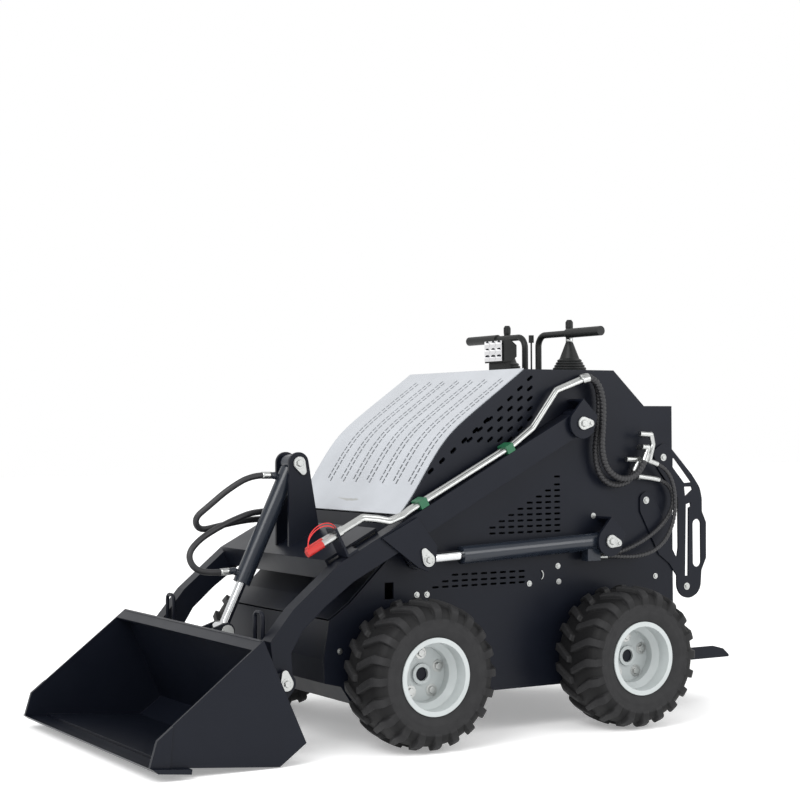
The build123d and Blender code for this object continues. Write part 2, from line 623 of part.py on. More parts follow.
def make_controls():
    x, z = HAND_BAR
    route = [(x, 41, CONSOLE_Z), (x, 41, z), (x, GRIP_END - 20, z)]
    bar = bent_bar(route, BAR_RADIUS, 40.0)
    bar += Pos(x, GRIP_START, z) * Rot(-90, 0, 0) * Cylinder(
        GRIP_RADIUS, GRIP_END - GRIP_START, align=(Align.CENTER, Align.CENTER, Align.MIN)
    )
    write("hand_bars", both_sides(bar))
    outline_points = [(0, 0)]
    for rib in range(5):
        outline_points += [(62 - 5 * rib, 9 * rib), (62 - 5 * rib, 9 * rib + 4), (54 - 5 * rib, 9 * rib + 9)]
    outline_points += [(12, 102), (7, 108), (7, 132), (10, 136), (13, 152), (13, 170), (8, 178), (0, 178)]
    place = Pos(JOYSTICK[0], JOYSTICK[1], CONSOLE_Z)
    profile = Polyline(*[(r, 0, h) for r, h in outline_points], close=True)
    write("joysticks", both_sides(place * revolve(make_face(profile), axis=Axis.Z)))
    x, z = LAMP
    housing = [(x + 22, z + 40), (x + 22, z - 40), (x - 8, z - 36), (x - 30, z - 20), (x - 30, z + 20), (x - 8, z + 36)]
    lamp = plate(housing, -60, 60)
    lamp += plate([(x + 12, CONSOLE_Z), (x - 12, CONSOLE_Z), (x - 12, z - 30), (x + 12, z - 30)], -50, 50)
    write("work_lamp", lamp)
    lever = Pos(-340, 45, CONSOLE_Z) * Cylinder(3, 110, align=(Align.CENTER, Align.CENTER, Align.MIN))
    lever += Pos(-340, 45, CONSOLE_Z + 105) * Cylinder(9, 26, align=(Align.CENTER, Align.CENTER, Align.MIN))
    write("throttle", lever)


PIPE = [(604, 669), (532.87, 705.62), (479, 700), (438, 692), (391, 708), (366, 724.7), (-22, 923.8), (-98, 977),
        (-193, 1098), (-295, 1134)]


def at_y(y, points):
    return [(x, y, z) for x, z in points]


LIFT_HOSE_Y = (ARM_MIDDLE_Y - 11, ARM_MIDDLE_Y + 9)
HOSES = [
    # node, radius, route
    ("tilt_hose_upper", HOSE_RADIUS, [(650.1, 0, 825.01), (712, 0, 829), (790, -14, 785), (853, -32, 730),
                                      (896, -48, 692), (872, -62, 652), (800, -74, 664), (722, -81, 677),
                                      (661, -84, 682), (604, -84, 682)]),
    ("tilt_hose_lower", HOSE_RADIUS, [(797.1, 0, 523.99), (850, 0, 521), (912, -6, 532), (934, -14, 580),
                                      (893, -24, 624), (822, -36, 660), (746, -50, 688), (674, -64, 708),
                                      (604, -64, 708)]),
    ("arm_hose_inner", WRAPPED_RADIUS, at_y(PIPE_Y[0], [(-295.1, 1134.04), (-320.08, 1142.85), (-347, 1133),
                                                        (-365, 1104), (-372, 1056), (-366, 985), (-350, 900),
                                                        (-364, 822), (-405, 784), (-459, 781), (-505, 803),
                                                        (-528, 848)])),
    ("arm_hose_outer", WRAPPED_RADIUS, at_y(PIPE_Y[1], [(-281.76, 1127.17), (-306.74, 1135.98), (-335, 1129),
                                                        (-356, 1103), (-368, 1056), (-367, 985), (-359, 905),
                                                        (-378, 836), (-430, 801), (-488, 803), (-532, 840),
                                                        (-549, 886)])),
    ("lift_hose_lower", LIFT_HOSE_RADIUS, at_y(LIFT_HOSE_Y[0], [(-352.1, 547), (-408, 547), (-480, 564), (-552, 590),
                                                                (-624, 632), (-677, 688), (-684, 750), (-645, 793),
                                                                (-594, 800)])),
    ("lift_hose_upper", LIFT_HOSE_RADIUS, at_y(LIFT_HOSE_Y[1], [(-352.1, 547), (-406, 547), (-468, 541), (-530, 543),
                                                                (-592, 560), (-644, 603), (-672, 667), (-677, 737),
                                                                (-661, 800), (-622, 843), (-573, 857)])),
]
PORTS = [
    # y, side-view route of the fitting from the hose's end; its stem through the side plate is at the last corner
    (PIPE_Y[0], [(-528.05, 848.09), (-536.56, 864.74), (-481, 866)]),
    (PIPE_Y[1], [(-549.03, 886.09), (-556.02, 905), (-529, 908)]),
    (LIFT_HOSE_Y[0], [(-593.9, 800.01), (-540, 807.41), (-532, 808.51)]),
    (LIFT_HOSE_Y[1], [(-572.9, 857.03), (-564.35, 859.47), (-581, 915), (-574, 948), (-526, 951)]),
]


def make_lines():
    """Pipes along the left arm with their clamps and couplers, and the blocks that the hoses end at."""
    slope = radians(ARM_SLOPE)
    forward = (cos(slope), -sin(slope))
    pipes, couplers, caps, holes = [], [], [], []
    for y, moved in zip(PIPE_Y, (0.0, PIPE_STAGGER)):
        route = [(x + forward[0] * moved, z + forward[1] * moved) for x, z in PIPE]
        pipes.append(bent_bar(at_y(y, route), PIPE_RADIUS, 20.0))
        tip = route[0]
        body_end, cap_end = [(tip[0] + forward[0] * length, tip[1] + forward[1] * length) for length in COUPLER]
        couplers.append(bar_between(along(tip, body_end, FIT), body_end, COUPLER_RADIUS, y))
        caps.append(bar_between(body_end, cap_end, CAP_RADIUS, y))
        holes.append(bar_between(tip, cap_end, COUPLER_RADIUS + FIT, y))
        holes.append(bar_between(route[5], route[6], PIPE_RADIUS + FIT, y))
    write("arm_pipes", pipes[0] + pipes[1])
    write("quick_couplers", couplers[0] + couplers[1])
    write("coupler_caps", caps[0] + caps[1])

    top = ARM_ABOVE_PIVOT
    length, height = CLAMP
    clamps = [
        plate([arm_point(d, top), arm_point(d + length, top), arm_point(d + length, top + height),
               arm_point(d, top + height)], PIPE_Y[0] - 12, PIPE_Y[1] + 12).cut(*holes)
        for d in CLAMP_PLACES
    ]
    write("pipe_clamps", clamps[0] + clamps[1])
    d = COUPLER_PLATE
    bracket = [(d - 34, top), (d + 8, top), (d + 8, top + 97), (d, top + 97), (d, top + 8), (d - 34, top + 8)]
    bracket = plate([arm_point(*p) for p in bracket], PIPE_Y[0] - 18, PIPE_Y[1] + 18)
    write("coupler_bracket", bracket.cut(*holes))

    ports = []
    for y, route in PORTS:
        ports += [bar_between(start, end, PORT_TUBE, y) for start, end in zip(route, route[1:])]
        ports += [Pos(x, y, z) * Sphere(PORT_TUBE) for x, z in route[1:-1]]
        ports.append(disc(route[-2], PORT_STEM, SIDE_Y, y))
    write("hydraulic_ports", ports[0] + ports[1:])
    block_y = -TILT_EAR_Y - EAR
    block = plate([(560, 666), (592, 666), (592, 724), (560, 724)], block_y - 48, block_y)
    for _, radius, route in HOSES[:2]:
        x, y, z = route[-1]
        block += bar_between((x - 20, z), (x, z), radius + 1, y)
    write("tilt_fittings", block)


os.makedirs("parts", exist_ok=True)
make_wheels()
make_chassis()
make_pins()
make_arms()
make_cylinders()
make_bucket()
make_controls()
make_lines()
for name, radius, route in HOSES:
    print(name, "bend radii", [round(r) for r in bend_radii(route)])
    write(name, hose(route, radius))
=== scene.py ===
"""Stand-on wheeled mini skid steer loader: finish, hoses and small parts on the CAD frame, for one picture.

The scene is in metres, in the CAD frame: +X forward, +Y to the machine's left, Z up. Places and sizes in the
tables are in the part's own drawing, in millimetres from the middle of the wheelbase, unless they say metres,
and MIDDLE_X takes them to the middle of the machine.
"""

import math

import bpy
import numpy as np
from mathutils import Matrix


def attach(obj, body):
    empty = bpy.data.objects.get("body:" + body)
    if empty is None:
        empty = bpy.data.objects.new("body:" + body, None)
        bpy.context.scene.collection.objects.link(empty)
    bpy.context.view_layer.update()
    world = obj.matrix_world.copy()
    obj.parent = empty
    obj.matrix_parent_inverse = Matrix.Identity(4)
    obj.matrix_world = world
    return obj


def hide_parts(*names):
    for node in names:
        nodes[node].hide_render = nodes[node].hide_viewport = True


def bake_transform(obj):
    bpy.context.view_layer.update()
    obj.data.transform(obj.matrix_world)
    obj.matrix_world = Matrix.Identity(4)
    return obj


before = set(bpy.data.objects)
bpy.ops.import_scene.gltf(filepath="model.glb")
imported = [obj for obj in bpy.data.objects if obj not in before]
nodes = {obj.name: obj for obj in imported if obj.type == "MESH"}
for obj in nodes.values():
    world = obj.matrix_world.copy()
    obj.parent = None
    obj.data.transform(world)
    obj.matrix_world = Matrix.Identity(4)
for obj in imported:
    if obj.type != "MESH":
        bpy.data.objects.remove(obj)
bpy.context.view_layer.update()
scene = bpy.context.scene

# Camera: where the photograph was taken from, ahead of the machine and on its left, about 0.97 m up. It was
# solved from the photograph with the tyres as the scale.
MIDDLE_X = 144.0  # from the middle of the wheelbase to the middle of the machine
TO_MIDDLE = (MIDDLE_X, 0, 0)
CAMERA_PLACE = np.array([3145.46, 5028.99, 970.78])
CAMERA_ANGLES = (30.65, 0.96, 0.31)  # yaw, pitch and roll in degrees
FOCAL_LENGTH_PIXELS = 1744.17
PICTURE_PIXELS = 800  # the photograph is square
SENSOR_WIDTH = 36.0
camera_data = bpy.data.cameras.new("camera")
camera = bpy.data.objects.new("camera", camera_data)
scene.collection.objects.link(camera)
yaw, pitch, roll = (math.radians(angle) for angle in CAMERA_ANGLES)
look = np.array([-math.sin(yaw) * math.cos(pitch), -math.cos(yaw) * math.cos(pitch), math.sin(pitch)])
right = np.cross(look, (0, 0, 1))
right /= np.linalg.norm(right)
down = np.cross(look, right)
place = np.eye(4)
place[:3, 0] = math.cos(roll) * right + math.sin(roll) * down
place[:3, 1] = math.sin(roll) * right - math.cos(roll) * down
place[:3, 2] = -look
place[:3, 3] = (CAMERA_PLACE - TO_MIDDLE) / 1000
camera.matrix_world = Matrix(place.tolist())
camera_data.sensor_width = SENSOR_WIDTH
camera_data.lens = FOCAL_LENGTH_PIXELS / PICTURE_PIXELS * SENSOR_WIDTH
scene.camera = camera

# Hydraulic hoses: black rubber, those of the arm and of the left lift cylinder in a spiral guard. Each is one
# smooth NURBS line through the route of its solid, swept as a round tube from the one body that it joins to
# the other; only the sleeves at its ends are fixed to those bodies.
HOSES = [
    # node, radius, depth of the spiral guard, body at its start, body at its end, route
    ("tilt_hose_upper", 10, 0.0, "tilt_barrel", "arms",
     [(650.1, 0, 825.01), (712, 0, 829), (790, -14, 785), (853, -32, 730), (896, -48, 692),
      (872, -62, 652), (800, -74, 664), (722, -81, 677), (661, -84, 682), (604, -84, 682)]),
    ("tilt_hose_lower", 10, 0.0, "tilt_barrel", "arms",
     [(797.1, 0, 523.99), (850, 0, 521), (912, -6, 532), (934, -14, 580), (893, -24, 624), (822, -36, 660),
      (746, -50, 688), (674, -64, 708), (604, -64, 708)]),
    ("arm_hose_inner", 11, 2.4, "arms", "chassis",
     [(-295.1, 392, 1134.04), (-320.08, 392, 1142.85), (-347, 392, 1133), (-365, 392, 1104),
      (-372, 392, 1056), (-366, 392, 985), (-350, 392, 900), (-364, 392, 822), (-405, 392, 784),
      (-459, 392, 781), (-505, 392, 803), (-528, 392, 848)]),
    ("arm_hose_outer", 11, 2.4, "arms", "chassis",
     [(-281.76, 416, 1127.17), (-306.74, 416, 1135.98), (-335, 416, 1129), (-356, 416, 1103),
      (-368, 416, 1056), (-367, 416, 985), (-359, 416, 905), (-378, 416, 836), (-430, 416, 801),
      (-488, 416, 803), (-532, 416, 840), (-549, 416, 886)]),
    ("lift_hose_lower", 7, 1.5, "lift_barrel_left", "chassis",
     [(-352.1, 389, 547), (-408, 389, 547), (-480, 389, 564), (-552, 389, 590), (-624, 389, 632),
      (-677, 389, 688), (-684, 389, 750), (-645, 389, 793), (-594, 389, 800)]),
    ("lift_hose_upper", 7, 1.5, "lift_barrel_left", "chassis",
     [(-352.1, 409, 547), (-406, 409, 547), (-468, 409, 541), (-530, 409, 543), (-592, 409, 560),
      (-644, 409, 603), (-672, 409, 667), (-677, 409, 737), (-661, 409, 800), (-622, 409, 843),
      (-573, 409, 857)]),
]
HOSE_SIDES = 24
PLAIN_STEP, WRAPPED_STEP = 0.006, 0.0016  # metres between rings
GUARD_PITCH = 0.013  # metres, of the strip wound round the hose
GAP_STEEPNESS, GAP_CUT = 1.5, 0.4  # shape of the gap between the strip's turns
SLEEVE_LENGTH, SLEEVE_WALL = 0.030, 0.0016  # metres, of the sleeve crimped on each end
hose_rubber = bpy.data.materials.new("hose_rubber")
hose_rubber.use_nodes = True
tree = hose_rubber.node_tree
shader = tree.nodes["Principled BSDF"]
shader.inputs["Base Color"].default_value = (0.012, 0.012, 0.014, 1)
noise = tree.nodes.new("ShaderNodeTexNoise")
noise.inputs["Scale"].default_value = 160
spread = tree.nodes.new("ShaderNodeMapRange")
spread.inputs["To Min"].default_value, spread.inputs["To Max"].default_value = 0.38, 0.62
coordinates = tree.nodes.new("ShaderNodeTexCoord")
tree.links.new(coordinates.outputs["Object"], noise.inputs["Vector"])
tree.links.new(noise.outputs["Fac"], spread.inputs["Value"])
tree.links.new(spread.outputs["Result"], shader.inputs["Roughness"])
sleeves = []  # body, path, radius
for node, radius, guard, first_body, last_body, route in HOSES:
    points = (np.array(route, float) - TO_MIDDLE) / 1000
    data = bpy.data.curves.new(node + "_line", "CURVE")
    data.dimensions = "3D"
    data.resolution_u = 12
    spline = data.splines.new("NURBS")
    spline.points.add(len(points) - 1)
    spline.points.foreach_set("co", np.hstack([points, np.ones((len(points), 1))]).ravel())
    spline.order_u = 3
    spline.use_endpoint_u = True
    line = bpy.data.objects.new(node + "_line", data)
    scene.collection.objects.link(line)
    centre_mesh = bpy.data.meshes.new_from_object(line)
    centre = np.zeros(len(centre_mesh.vertices) * 3)
    centre_mesh.vertices.foreach_get("co", centre)
    centre = centre.reshape(-1, 3)
    bpy.data.objects.remove(line)
    # resampled evenly, finer where the guard is drawn
    step = np.linalg.norm(np.diff(centre, axis=0), axis=1)
    travel = np.concatenate([[0], np.cumsum(step)])
    count = int(travel[-1] / (WRAPPED_STEP if guard else PLAIN_STEP)) + 2
    s = np.linspace(0, travel[-1], count)
    path = np.stack([np.interp(s, travel, centre[:, i]) for i in range(3)], axis=1)
    tangent = np.gradient(path, s, axis=0)
    tangent /= np.linalg.norm(tangent, axis=1)[:, None]
    side = np.cross(tangent, (0, 1, 0))
    side /= np.linalg.norm(side, axis=1)[:, None]
    out = np.cross(side, tangent)
    angle = np.linspace(0, 2 * np.pi, HOSE_SIDES, endpoint=False)
    # the guard is a flat strip wound round the hose: the radius dips between its turns
    turns = s[:, None] / GUARD_PITCH - angle[None, :] / (2 * np.pi)
    dip = guard * np.clip(GAP_STEEPNESS * np.cos(2 * np.pi * turns) - GAP_CUT, 0, 1)
    r = (radius - dip) / 1000
    surface = path[:, None] + r[..., None] * (
        np.cos(angle)[None, :, None] * side[:, None] + np.sin(angle)[None, :, None] * out[:, None]
    )
    i, j = np.meshgrid(np.arange(count - 1) * HOSE_SIDES, np.arange(HOSE_SIDES), indexing="ij")
    k = (j + 1) % HOSE_SIDES
    quads = np.stack([i + j, i + k, i + HOSE_SIDES + k, i + HOSE_SIDES + j], axis=-1).reshape(-1, 4)
    mesh = bpy.data.meshes.new(node + "_tube")
    mesh.from_pydata(surface.reshape(-1, 3), [], quads.tolist())
    mesh.shade_smooth()
    mesh.materials.append(hose_rubber)
    piece = bpy.data.objects.new(node + "_tube", mesh)
    scene.collection.objects.link(piece)
    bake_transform(piece)
    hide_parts(node)
    sleeves.append((first_body, path[s < SLEEVE_LENGTH], radius / 1000 + SLEEVE_WALL))
    sleeves.append((last_body, path[s > travel[-1] - SLEEVE_LENGTH], radius / 1000 + SLEEVE_WALL))

# Tyres: dull charcoal rubber, moulded with two staggered rows of slanted lugs whose V points forward at the
# top. The surface is a grid round the carcass, raised along its normal where a lug stands, and the grooves
# between the lugs are coloured darker as painted shade. All four are the same tyre.
WHEELS = [
    # name, x, side
    ("front_left", 392, 1),
    ("front_right", 392, -1),
    ("rear_left", -392, 1),
    ("rear_right", -392, -1),
]
WHEEL_Y = 493.0  # middle of the tyre
TYRE_RADIUS = 229.0
CARCASS = np.array([
    # y, radius: from the left bead to the middle of the tread, and mirrored to the right
    (90.4, 108.5), (91.0, 114), (92.5, 119.5), (96.5, 126), (100.0, 134), (102.6, 143), (103.6, 147),
    (102.4, 150), (103.8, 160), (103.6, 172), (101.5, 184), (96.5, 194.5), (88, 202), (76, 207.5),
    (58, 211.5), (38, 214), (18, 215.6), (0, 216),
])
LUGS = 20  # in each row
LUG_HEIGHT = 13.0
LUG_HALF_WIDTH = 10.5  # in the middle of the tread
LUG_GAIN, GAIN_TO_Y = 4.5, 104.0  # what the half width gains outwards, and up to where
LUG_EDGE = 2.0  # width of a lug's slanted flank
LUG_LEAN = math.radians(27)
SHOULDER_Y = 74.0  # the lugs lean up to here, and then run straight out
WALL_Y, LEAN_BACK = 96.0, 0.1  # past this they go back a little, by this slope
GROOVE_HALF = 3.0  # bare middle of the tread, and as much again for the lugs' slanted noses
LUG_FOOT, LUG_FADE = 168.0, 16.0  # radius where a lug ends on the wall, and the depth over which it fades
# the painted shade of the grooves stops at this radius
BARE_WALL = 175.0  # inside this radius the wall is as light as the lugs
WIDEST_Y = 107.4  # no lug reaches out past this
OUTER_RADIUS = TYRE_RADIUS - 0.1  # or past this radius, just inside the solid tyre's
LEAST_NORMAL = 0.05  # keeps the room for a lug finite where the tread faces straight out from the axle
TREAD_GRID = (680, 132)  # round the wheel and across it
SMOOTHINGS = 2  # of the carcass's corners
profile = np.vstack([CARCASS, CARCASS[-2::-1] * (-1, 1)])
length = np.concatenate([[0], np.cumsum(np.linalg.norm(np.diff(profile, axis=0), axis=1))])
even = np.linspace(0, length[-1], TREAD_GRID[1])
y = np.interp(even, length, profile[:, 0])
r = np.interp(even, length, profile[:, 1])
kernel = np.array([0.25, 0.5, 0.25])
for _ in range(SMOOTHINGS):
    y[1:-1], r[1:-1] = np.convolve(y, kernel, "valid"), np.convolve(r, kernel, "valid")
along_y, along_r = np.gradient(y), np.gradient(r)
size = np.hypot(along_y, along_r)
normal_y, normal_r = along_r / size, -along_y / size
turn = np.linspace(0, 2 * np.pi, TREAD_GRID[0], endpoint=False)
across = np.abs(y)[None, :]
on_left = (y > 0)[None, :]
lug_pitch = 2 * np.pi * TYRE_RADIUS / LUGS
travel_round = turn[:, None] * TYRE_RADIUS + np.where(on_left, 0, lug_pitch / 2)
lean = np.clip(SHOULDER_Y - across, 0, None) * math.tan(LUG_LEAN)
lean = lean - np.clip(across - WALL_Y, 0, None) * LEAN_BACK
offset = (travel_round - lean + lug_pitch / 2) % lug_pitch - lug_pitch / 2
half_width = LUG_HALF_WIDTH + LUG_GAIN * np.clip(across / GAIN_TO_Y, 0, 1)
flank = np.clip((half_width + LUG_EDGE / 2 - np.abs(offset)) / LUG_EDGE, 0, 1)
nose = np.clip((across - GROOVE_HALF) / GROOVE_HALF, 0, 1)
foot = np.clip((r[None, :] - LUG_FOOT) / LUG_FADE, 0, 1)
height = LUG_HEIGHT * flank * nose * foot
room = (WIDEST_Y - across) / np.maximum(np.abs(normal_y[None, :]), LEAST_NORMAL)
height = np.minimum(height, np.clip(room, 0, LUG_HEIGHT))
ring_r = np.minimum(r[None, :] + normal_r[None, :] * height, OUTER_RADIUS)
ring_y = y[None, :] + normal_y[None, :] * height
tread = np.stack([ring_r * np.sin(turn)[:, None], ring_y, ring_r * np.cos(turn)[:, None]], axis=-1) / 1000
# mask for the painted shade in the grooves: 1 on the lugs and inside BARE_WALL, less between the lugs
unshaded_mask = np.where((r < BARE_WALL)[None, :], 1.0, height / LUG_HEIGHT).astype(np.float32).ravel()
rows, columns = tread.shape[:2]
i, j = np.meshgrid(np.arange(rows), np.arange(columns - 1), indexing="ij")
k = (i + 1) % rows
tread_quads = np.stack([i * columns + j, i * columns + j + 1, k * columns + j + 1, k * columns + j], axis=-1)
tread_quads = tread_quads.reshape(-1, 4).tolist()
tyre_rubber = bpy.data.materials.new("tyre_rubber")
tyre_rubber.use_nodes = True
tree = tyre_rubber.node_tree
shader = tree.nodes["Principled BSDF"]
shader.inputs["Roughness"].default_value = 0.62
shader.inputs["Specular IOR Level"].default_value = 0.25
coordinates = tree.nodes.new("ShaderNodeTexCoord")
noise = tree.nodes.new("ShaderNodeTexNoise")
noise.inputs["Scale"].default_value = 35
noise.inputs["Detail"].default_value = 6
tint = tree.nodes.new("ShaderNodeMix")
tint.data_type = "RGBA"
tint.inputs[6].default_value = (0.009, 0.009, 0.010, 1)
tint.inputs[7].default_value = (0.021, 0.021, 0.022, 1)
# painted shade in the grooves: where this mask is 0, between the lugs, the colour is mixed to the darker one
# below
groove_shade_mask = tree.nodes.new("ShaderNodeAttribute")  # 1 on the lugs and the bare wall, 0 between the lugs
groove_shade_mask.attribute_name = "lug"
depth = tree.nodes.new("ShaderNodeMix")
depth.data_type = "RGBA"
depth.inputs[6].default_value = (0.005, 0.005, 0.0055, 1)
grain = tree.nodes.new("ShaderNodeTexNoise")
grain.inputs["Scale"].default_value = 700
bump = tree.nodes.new("ShaderNodeBump")
bump.inputs["Strength"].default_value = 0.15
bump.inputs["Distance"].default_value = 0.0006
tree.links.new(coordinates.outputs["Object"], noise.inputs["Vector"])
tree.links.new(coordinates.outputs["Object"], grain.inputs["Vector"])
tree.links.new(noise.outputs["Fac"], tint.inputs[0])
tree.links.new(tint.outputs[2], depth.inputs[7])
tree.links.new(groove_shade_mask.outputs["Fac"], depth.inputs[0])
tree.links.new(depth.outputs[2], shader.inputs["Base Color"])
tree.links.new(grain.outputs["Fac"], bump.inputs["Height"])
tree.links.new(bump.outputs["Normal"], shader.inputs["Normal"])
for name, x, side in WHEELS:
    centre = (np.array([x, side * WHEEL_Y, TYRE_RADIUS]) - TO_MIDDLE) / 1000
    mesh = bpy.data.meshes.new("tread_" + name)
    mesh.from_pydata((tread + centre).reshape(-1, 3), [], tread_quads)
    mesh.attributes.new("lug", "FLOAT", "POINT").data.foreach_set("value", unshaded_mask)
    mesh.shade_smooth()
    mesh.materials.append(tyre_rubber)
    piece = bpy.data.objects.new("tread_" + name, mesh)
    scene.collection.objects.link(piece)
    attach(piece, "wheel_" + name)
    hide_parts("tyre_" + name)

# Painted and plastic parts: satin powder coat in a very dark blue black on body, arms and bucket, silver grey
# on hood and rims, black trim, green clamps and red caps. All have a faint orange peel, and edges that catch
# the light as real radiused edges do.
PAINTED = [
    # material, colour, roughness low and high, specular level, nodes
    ("body_paint", (0.0052, 0.0066, 0.0115), 0.28, 0.42, 0.16,
     ["side_plate_left", "side_plate_right", "belly_pan", "rear_panel", "front_panel", "console", "platform",
      "guard_left", "guard_right", "arm_brackets", "lift_brackets", "arm_left", "arm_right", "cross_member",
      "coupler_bracket", "attach_frame", "bucket_shell", "cutting_edge", "wheel_motors", "engine_block"]),
    ("cylinder_paint", (0.012, 0.016, 0.024), 0.20, 0.30, 0.42,
     ["lift_barrel_left", "lift_barrel_right", "tilt_barrel"]),
    ("black_trim", (0.009, 0.010, 0.010), 0.38, 0.55, 0.28,
     ["hand_bars", "work_lamp", "joysticks", "throttle"]),
    ("hood_paint", (0.42, 0.44, 0.47), 0.26, 0.36, 0.5, ["hood"]),
    ("rim_paint", (0.43, 0.46, 0.46), 0.30, 0.44, 0.5, ["rim_" + name for name, _, _ in WHEELS]),
    ("clamp_green", (0.012, 0.10, 0.045), 0.40, 0.55, 0.4, ["pipe_clamps"]),
    ("cap_red", (0.42, 0.015, 0.012), 0.35, 0.50, 0.5, ["coupler_caps"]),
]
PAINT_DARK, PAINT_LIGHT = 0.86, 1.12  # the clouds in the paint, by its colour
for name, colour, smooth, rough, shine, members in PAINTED:
    paint = bpy.data.materials.new(name)
    paint.use_nodes = True
    tree = paint.node_tree
    shader = tree.nodes["Principled BSDF"]
    shader.inputs["Specular IOR Level"].default_value = shine
    coordinates = tree.nodes.new("ShaderNodeTexCoord")
    cloud = tree.nodes.new("ShaderNodeTexNoise")
    cloud.inputs["Scale"].default_value = 9
    cloud.inputs["Detail"].default_value = 5
    tint = tree.nodes.new("ShaderNodeMix")
    tint.data_type = "RGBA"
    tint.inputs[6].default_value = (*(PAINT_DARK * c for c in colour), 1)
    tint.inputs[7].default_value = (*(PAINT_LIGHT * c for c in colour), 1)
    spread = tree.nodes.new("ShaderNodeMapRange")
    spread.inputs["To Min"].default_value, spread.inputs["To Max"].default_value = smooth, rough
    peel = tree.nodes.new("ShaderNodeTexNoise")
    peel.inputs["Scale"].default_value = 420
    bump = tree.nodes.new("ShaderNodeBump")
    bump.inputs["Strength"].default_value = 0.10
    bump.inputs["Distance"].default_value = 0.0004
    edge = tree.nodes.new("ShaderNodeBevel")
    edge.samples = 4
    edge.inputs["Radius"].default_value = 0.0022
    for texture in (cloud, peel):
        tree.links.new(coordinates.outputs["Object"], texture.inputs["Vector"])
    tree.links.new(cloud.outputs["Fac"], tint.inputs[0])
    tree.links.new(tint.outputs[2], shader.inputs["Base Color"])
    tree.links.new(cloud.outputs["Fac"], spread.inputs["Value"])
    tree.links.new(spread.outputs["Result"], shader.inputs["Roughness"])
    tree.links.new(edge.outputs["Normal"], bump.inputs["Normal"])
    tree.links.new(peel.outputs["Fac"], bump.inputs["Height"])
    tree.links.new(bump.outputs["Normal"], shader.inputs["Normal"])
    for member in members:
        nodes[member].data.materials.clear()
        nodes[member].data.materials.append(paint)

# Bare metal: hard chrome on the rods, bright zinc on pipes, pins, couplers and fittings. Both have soft
# clouds in colour and gloss, as plating has, and edges that catch the light.
METALS = [
    # material, colour, roughness low and high, nodes
    ("rod_chrome", (0.66, 0.67, 0.68), 0.06, 0.12, ["lift_rod_left", "lift_rod_right", "tilt_rod"]),
    ("zinc", (0.50, 0.51, 0.50), 0.22, 0.40,
     ["arm_pipes", "quick_couplers", "hydraulic_ports", "tilt_fittings", "chassis_pins", "arm_pins",
      "bucket_pins"]),
]
METAL_DARK = 0.82  # the clouds in the metal, by its colour
for name, colour, smooth, rough, members in METALS:
    metal = bpy.data.materials.new(name)
    metal.use_nodes = True
    tree = metal.node_tree
    shader = tree.nodes["Principled BSDF"]
    shader.inputs["Metallic"].default_value = 1.0
    coordinates = tree.nodes.new("ShaderNodeTexCoord")
    cloud = tree.nodes.new("ShaderNodeTexNoise")
    cloud.inputs["Scale"].default_value = 60
    cloud.inputs["Detail"].default_value = 4
    tint = tree.nodes.new("ShaderNodeMix")
    tint.data_type = "RGBA"
    tint.inputs[6].default_value = (*(METAL_DARK * c for c in colour), 1)
    tint.inputs[7].default_value = (*colour, 1)
    spread = tree.nodes.new("ShaderNodeMapRange")
    spread.inputs["To Min"].default_value, spread.inputs["To Max"].default_value = smooth, rough
    edge = tree.nodes.new("ShaderNodeBevel")
    edge.samples = 4
    edge.inputs["Radius"].default_value = 0.0012
    tree.links.new(coordinates.outputs["Object"], cloud.inputs["Vector"])
    tree.links.new(cloud.outputs["Fac"], tint.inputs[0])
    tree.links.new(tint.outputs[2], shader.inputs["Base Color"])
    tree.links.new(cloud.outputs["Fac"], spread.inputs["Value"])
    tree.links.new(spread.outputs["Result"], shader.inputs["Roughness"])
    tree.links.new(edge.outputs["Normal"], shader.inputs["Normal"])
    for member in members:
        nodes[member].data.materials.clear()
        nodes[member].data.materials.append(metal)

# Hex bolts and nuts: zinc, on the side plates, guards, wheels and pins. Each is a six-sided head with a
# chamfered crown on a round washer, and all those of one body are one mesh.
SIDE_PLATE_Y, GUARD_Y = 366.0, 372.0  # their outer faces
PLATE_BOLTS = [  # x, z
    (325, 454), (288, 453), (-102, 468), (-219, 469), (-216, 520), (-622, 468), (-362, 680), (599, 297),
]
GUARD_BOLTS = [(-656, 870), (-580, 726), (-754, 427)]  # x, z
STUDS, STUD_CIRCLE, STUD_HEAD = 5, 63.5, 11  # how many, radius of their circle and of a head
STUD_FACE = 4.0  # the rim's disc, out from the middle of the tyre
FASTENERS = [
    # body, x, y, z, side that it faces, head radius
    *[("chassis", x, s * SIDE_PLATE_Y, z, s, 5.5) for s in (1, -1) for x, z in PLATE_BOLTS],
    *[("chassis", x, s * GUARD_Y, z, s, 7) for s in (1, -1) for x, z in GUARD_BOLTS],
    # on the left: two keeper screws, and then the bolt head on each pin's end
    ("chassis", -293, 450, 987, 1, 6),
    ("chassis", -404, 450, 592, 1, 6),
    ("chassis", -264, 450, 987, 1, 11),
    ("chassis", -375, 450, 599, 1, 11),
    ("arms", 327, 444, 567, 1, 10),
    ("arms", 573, 56, 864, 1, 11),
    ("bucket", 821, 449, 225, 1, 10),
]
for name, x, side in WHEELS:
    for n in range(STUDS):
        stud_x = x + STUD_CIRCLE * math.sin(2 * math.pi * n / STUDS)
        stud_z = TYRE_RADIUS + STUD_CIRCLE * math.cos(2 * math.pi * n / STUDS)
        FASTENERS.append(("wheel_" + name, stud_x, side * (WHEEL_Y + STUD_FACE), stud_z, side, STUD_HEAD))
HEAD = [
    # radius by the head's radius, height, and whether the ring is six-sided
    (1.75, 0, False),
    (1.75, 0.2, False),
    (1.02, 0.2, True),
    (1.0, 0.3, True),
    (1.0, 0.95, True),
    (0.88, 1.1, False),
    (0.0, 1.1, False),
]
